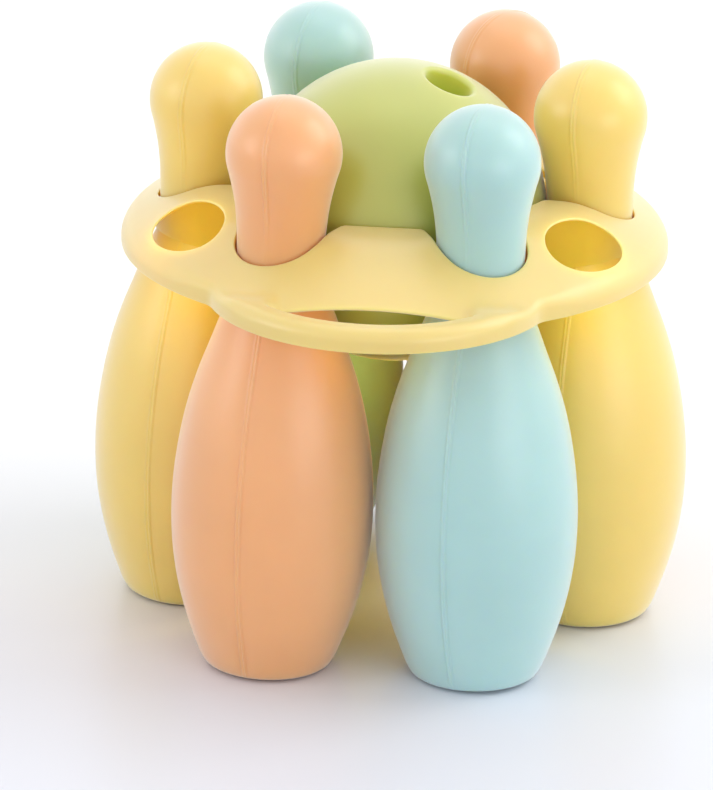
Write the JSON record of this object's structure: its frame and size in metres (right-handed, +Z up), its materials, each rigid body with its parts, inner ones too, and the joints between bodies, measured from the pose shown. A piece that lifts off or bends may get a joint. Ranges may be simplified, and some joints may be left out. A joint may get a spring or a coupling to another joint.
{
  "type": "toy bowling set",
  "caption": "Toy bowling set of soft plastic: six skittle pins in yellow, peach and mint around a green ball with finger holes, held by a cream ring carrier with two handles.",
  "frame": {"origin": "on the floor, on the set's middle axis, below the ball's centre", "axes": "+Z up, -Y towards the front handle, +X towards the right pin"},
  "size_m": [0.2182, 0.2428, 0.2106],
  "materials": {
    "yellow_plastic": "satin, soft blow-moulded plastic",
    "peach_plastic": "satin, soft blow-moulded plastic",
    "mint_plastic": "satin, soft blow-moulded plastic",
    "green_plastic": "satin, soft blow-moulded plastic",
    "cream_plastic": "satin, injection-moulded plastic"
  },
  "bodies": {
    "ball": {"ball": "green_plastic"},
    "carrier": {"carrier": "cream_plastic"},
    "pin_right": {"pin_right": "yellow_plastic", "pin_right_stopper": "yellow_plastic"},
    "pin_back_right": {"pin_back_right": "peach_plastic", "pin_back_right_stopper": "peach_plastic"},
    "pin_back_left": {"pin_back_left": "mint_plastic", "pin_back_left_stopper": "mint_plastic"},
    "pin_left": {"pin_left": "yellow_plastic", "pin_left_stopper": "yellow_plastic"},
    "pin_front_left": {"pin_front_left": "peach_plastic", "pin_front_left_stopper": "peach_plastic"},
    "pin_front_right": {"pin_front_right": "mint_plastic", "pin_front_right_stopper": "mint_plastic"}
  },
  "joints": [
    {"name": "carrier_lift", "type": "slide", "parent": "ball", "child": "carrier", "axis": [0, 0, 1], "range_m": [0, 0.007]},
    {"name": "pin_right_spin", "type": "hinge", "parent": "ball", "child": "pin_right", "pos_m": [0.0748, 0, 0.00065], "axis": [-0.0288, 0, 0.9996], "continuous": true},
    {"name": "pin_back_right_spin", "type": "hinge", "parent": "ball", "child": "pin_back_right", "pos_m": [0.0374, 0.06478, 0.00065], "axis": [-0.0144, -0.0249, 0.9996], "continuous": true},
    {"name": "pin_back_left_spin", "type": "hinge", "parent": "ball", "child": "pin_back_left", "pos_m": [-0.0374, 0.06478, 0.00065], "axis": [0.0144, -0.0249, 0.9996], "continuous": true},
    {"name": "pin_left_spin", "type": "hinge", "parent": "ball", "child": "pin_left", "pos_m": [-0.0748, 0, 0.00065], "axis": [0.0288, 0, 0.9996], "continuous": true},
    {"name": "pin_front_left_spin", "type": "hinge", "parent": "ball", "child": "pin_front_left", "pos_m": [-0.0374, -0.06478, 0.00065], "axis": [0.0144, 0.0249, 0.9996], "continuous": true},
    {"name": "pin_front_right_spin", "type": "hinge", "parent": "ball", "child": "pin_front_right", "pos_m": [0.0374, -0.06478, 0.00065], "axis": [-0.0144, 0.0249, 0.9996], "continuous": true}
  ]
}
